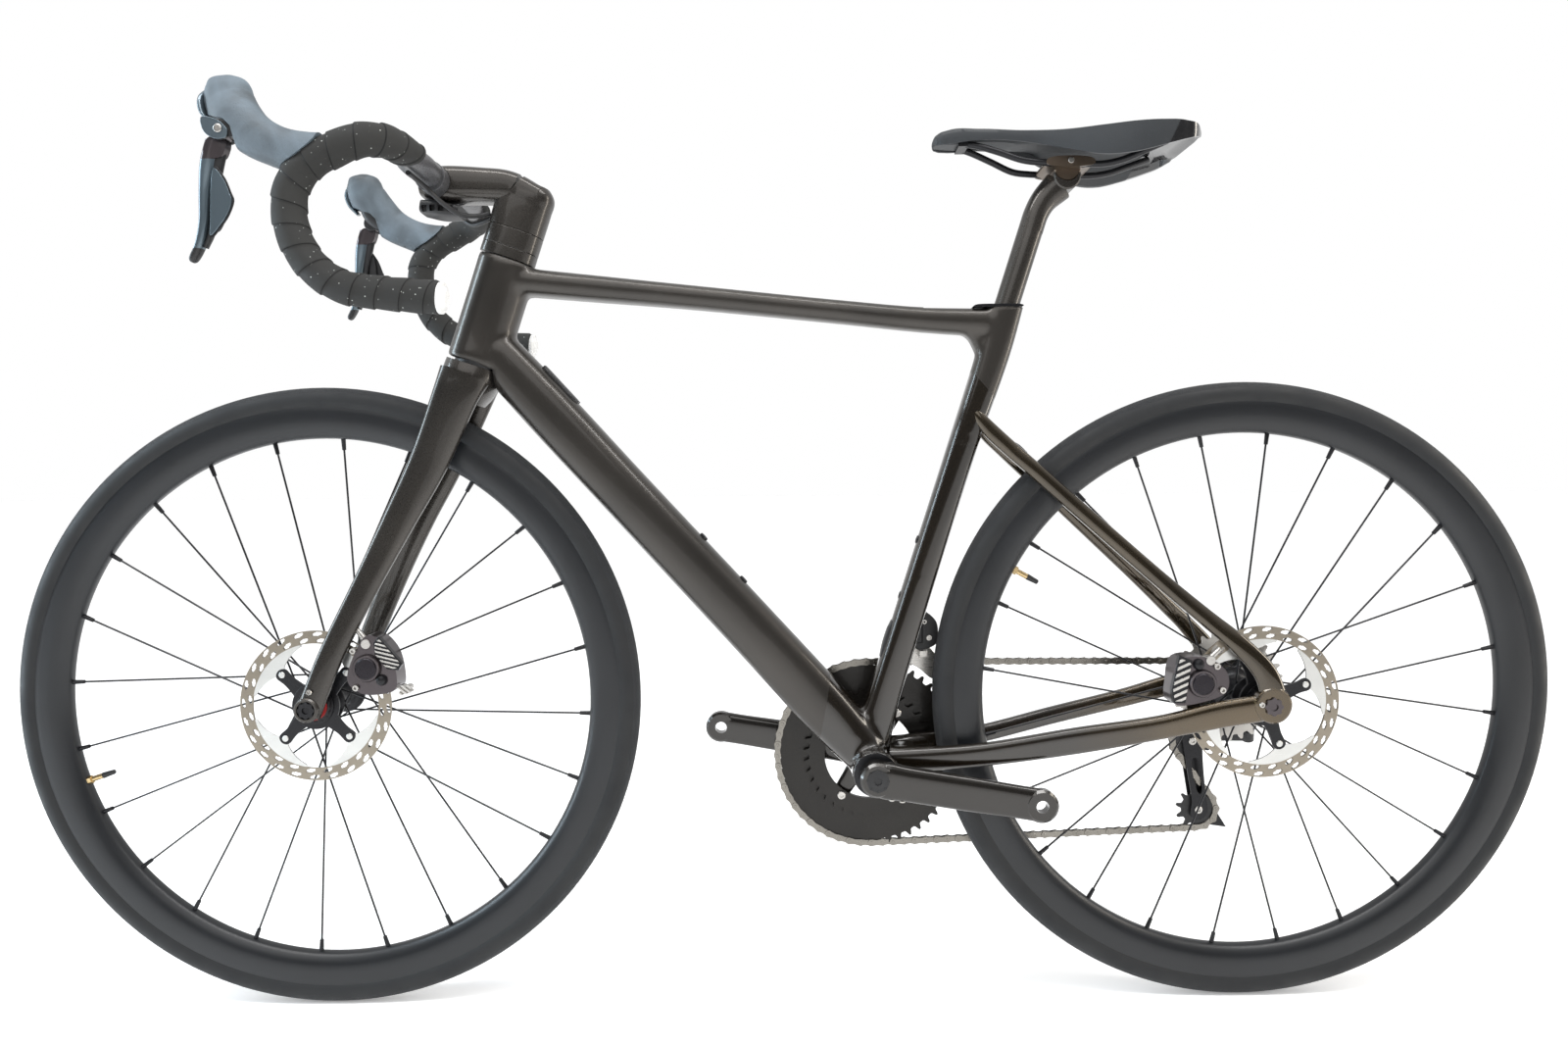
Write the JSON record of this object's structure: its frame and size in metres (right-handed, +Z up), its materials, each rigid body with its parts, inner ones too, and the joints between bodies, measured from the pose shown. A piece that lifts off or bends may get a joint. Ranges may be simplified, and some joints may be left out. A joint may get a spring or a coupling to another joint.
{
  "type": "road bicycle",
  "caption": "Road bicycle with disc brakes, drop bars, wide-range gears and a slim saddle; it rolls, steers, pedals, brakes, shifts and adjusts at the seat",
  "frame": {"origin": "on the ground, midway between the wheel axles, in the bicycle's middle plane", "axes": "+X forward along the wheelbase, +Y to the rider's left, +Z up"},
  "size_m": [1.677, 0.3792, 0.9495],
  "materials": {
    "satin_paint": "satin dark warm grey paint",
    "gloss_paint": "glossy black paint with a bronze tint",
    "tyre_rubber": "black tyre rubber with a fine tread",
    "hose_rubber": "smooth black hose",
    "hood_rubber": "ribbed blue-grey rubber",
    "carbon": "matte carbon composite",
    "black_metal": "black anodised aluminium",
    "dark_alloy": "dark grey polished aluminium",
    "bright_steel": "bright nickel-plated steel",
    "rotor_steel": "ground steel brake track on a black spider",
    "bar_tape": "black cork tape with fine pale specks",
    "black_plastic": "black moulded plastic",
    "lever_paint": "silver-blue satin lacquer",
    "white_plastic": "white plastic",
    "saddle_cover": "blue-grey synthetic leather"
  },
  "bodies": {
    "frame": {"front_triangle": "satin_paint", "seatstays": "gloss_paint", "chainstays": "gloss_paint", "derailleur_hanger": "black_metal", "bottom_bracket": "black_metal", "seatpost_clamp": "black_metal", "rear_axle": "black_metal", "rear_caliper": "black_metal", "front_derailleur": "black_plastic", "rear_derailleur": "black_plastic", "chain": "bright_steel"},
    "steering": {"fork": "satin_paint", "front_axle": "black_metal", "front_caliper": "black_metal", "headset_cover": "satin_paint", "headset_spacer": "satin_paint", "stem": "satin_paint", "stem_cover": "satin_paint", "handlebar": "carbon", "junction_box": "black_plastic", "left_brake_hose": "hose_rubber", "right_brake_hose": "hose_rubber", "left_bar_tape": "bar_tape", "right_bar_tape": "bar_tape", "left_bar_plug": "white_plastic", "right_bar_plug": "white_plastic", "left_hood": "hood_rubber", "right_hood": "hood_rubber", "left_lever_bracket": "black_plastic", "right_lever_bracket": "black_plastic"},
    "left_brake": {"left_brake_lever": "lever_paint"},
    "right_brake": {"right_brake_lever": "lever_paint"},
    "left_paddle": {"left_shift_paddle": "lever_paint"},
    "right_paddle": {"right_shift_paddle": "lever_paint"},
    "left_button": {"left_shift_button": "black_plastic"},
    "right_button": {"right_shift_button": "black_plastic"},
    "front_wheel": {"front_tyre": "tyre_rubber", "front_rim": "carbon", "front_hub_and_spokes": "black_metal", "front_rotor": "rotor_steel"},
    "rear_wheel": {"rear_tyre": "tyre_rubber", "rear_rim": "carbon", "rear_hub_and_spokes": "black_metal", "rear_rotor": "rotor_steel"},
    "cogs": {"cassette": "bright_steel"},
    "cranks": {"right_crank": "dark_alloy", "left_crank": "dark_alloy", "big_chainring": "dark_alloy", "small_chainring": "dark_alloy"},
    "front_cage": {"front_derailleur_cage": "black_metal"},
    "derailleur_link": {"rear_derailleur_link": "black_plastic"},
    "derailleur_knuckle": {"rear_derailleur_knuckle": "black_plastic"},
    "rear_cage": {"rear_derailleur_cage": "black_metal"},
    "upper_pulley": {"guide_pulley": "black_plastic"},
    "lower_pulley": {"tension_pulley": "black_plastic"},
    "seat_mast": {"seatpost": "satin_paint"},
    "saddle_rocker": {"saddle_clamp": "dark_alloy"},
    "saddle_top": {"saddle": "saddle_cover", "saddle_rails": "black_metal"}
  },
  "joints": [
    {"name": "steering_turn", "type": "hinge", "parent": "frame", "child": "steering", "pos_m": [0.31404, 0, 0.75147], "axis": [-0.3173, 0, 0.9483], "range_deg": [-40, 40]},
    {"name": "front_wheel_spin", "type": "hinge", "parent": "steering", "child": "front_wheel", "pos_m": [0.4995, 0, 0.339], "axis": [0, 1, 0], "continuous": true},
    {"name": "rear_wheel_spin", "type": "hinge", "parent": "frame", "child": "rear_wheel", "pos_m": [-0.4995, 0, 0.339], "axis": [0, 1, 0], "continuous": true},
    {"name": "crank_spin", "type": "hinge", "parent": "frame", "child": "cranks", "pos_m": [-0.0944, 0, 0.2608], "axis": [0, 1, 0], "continuous": true, "deforming": ["chain"]},
    {"name": "cassette_spin", "type": "hinge", "parent": "frame", "child": "cogs", "pos_m": [-0.4995, 0, 0.339], "axis": [0, 1, 0], "continuous": true},
    {"name": "front_derailleur_shift", "type": "slide", "parent": "frame", "child": "front_cage", "axis": [0, 1, 0], "range_m": [0, 0.006]},
    {"name": "rear_derailleur_shift", "type": "hinge", "parent": "frame", "child": "derailleur_link", "pos_m": [-0.546, -0.078, 0.27], "axis": [0.1399, 0.3238, 0.9357], "range_deg": [0, 31]},
    {"name": "rear_derailleur_follow", "type": "hinge", "parent": "derailleur_link", "child": "derailleur_knuckle", "pos_m": [-0.487, -0.09416, 0.26677], "axis": [0.1399, 0.3238, 0.9357], "range_deg": [-32, 0]},
    {"name": "cage_swing", "type": "hinge", "parent": "derailleur_knuckle", "child": "rear_cage", "pos_m": [-0.472, -0.0626, 0.268], "axis": [0, 1, 0], "range_deg": [-30, 20], "stiffness_Nm_per_rad": 0.3},
    {"name": "guide_pulley_spin", "type": "hinge", "parent": "rear_cage", "child": "upper_pulley", "pos_m": [-0.472, -0.0626, 0.268], "axis": [0, 1, 0], "continuous": true},
    {"name": "tension_pulley_spin", "type": "hinge", "parent": "rear_cage", "child": "lower_pulley", "pos_m": [-0.48, -0.0626, 0.187], "axis": [0, 1, 0], "continuous": true},
    {"name": "seatpost_height", "type": "slide", "parent": "frame", "child": "seat_mast", "axis": [-0.3021, 0, 0.9533], "range_m": [-0.04, 0.06]},
    {"name": "saddle_tilt", "type": "hinge", "parent": "seat_mast", "child": "saddle_rocker", "pos_m": [-0.303, 0, 0.906], "axis": [0, 1, 0], "range_deg": [-4, 4]},
    {"name": "saddle_fore_aft", "type": "slide", "parent": "saddle_rocker", "child": "saddle_top", "axis": [0.9996, 0, 0.028], "range_m": [-0.01, 0.01]},
    {"name": "left_brake_pull", "type": "hinge", "parent": "steering", "child": "left_brake", "pos_m": [0.508, 0.172, 0.894], "axis": [0, 1, 0], "range_deg": [0, 16], "stiffness_Nm_per_rad": 2},
    {"name": "left_paddle_press", "type": "hinge", "parent": "left_brake", "child": "left_paddle", "pos_m": [0.519, 0.1776, 0.857], "axis": [0, 0, 1], "range_deg": [0, 5], "stiffness_Nm_per_rad": 0.4},
    {"name": "left_button_press", "type": "hinge", "parent": "left_brake", "child": "left_button", "pos_m": [0.5185, 0.1734, 0.83], "axis": [0, 0, 1], "range_deg": [0, 5], "stiffness_Nm_per_rad": 0.4},
    {"name": "right_brake_pull", "type": "hinge", "parent": "steering", "child": "right_brake", "pos_m": [0.508, -0.172, 0.894], "axis": [0, 1, 0], "range_deg": [0, 16], "stiffness_Nm_per_rad": 2},
    {"name": "right_paddle_press", "type": "hinge", "parent": "right_brake", "child": "right_paddle", "pos_m": [0.519, -0.1776, 0.857], "axis": [0, 0, -1], "range_deg": [0, 5], "stiffness_Nm_per_rad": 0.4},
    {"name": "right_button_press", "type": "hinge", "parent": "right_brake", "child": "right_button", "pos_m": [0.5185, -0.1734, 0.83], "axis": [0, 0, -1], "range_deg": [0, 5], "stiffness_Nm_per_rad": 0.4}
  ],
  "couplings": [
    {"joint": "cassette_spin", "follows": "crank_spin", "ratio": 4.7273},
    {"joint": "guide_pulley_spin", "follows": "crank_spin", "ratio": -4.7273},
    {"joint": "tension_pulley_spin", "follows": "crank_spin", "ratio": 4.7273},
    {"joint": "rear_derailleur_follow", "follows": "rear_derailleur_shift", "ratio": -1}
  ]
}
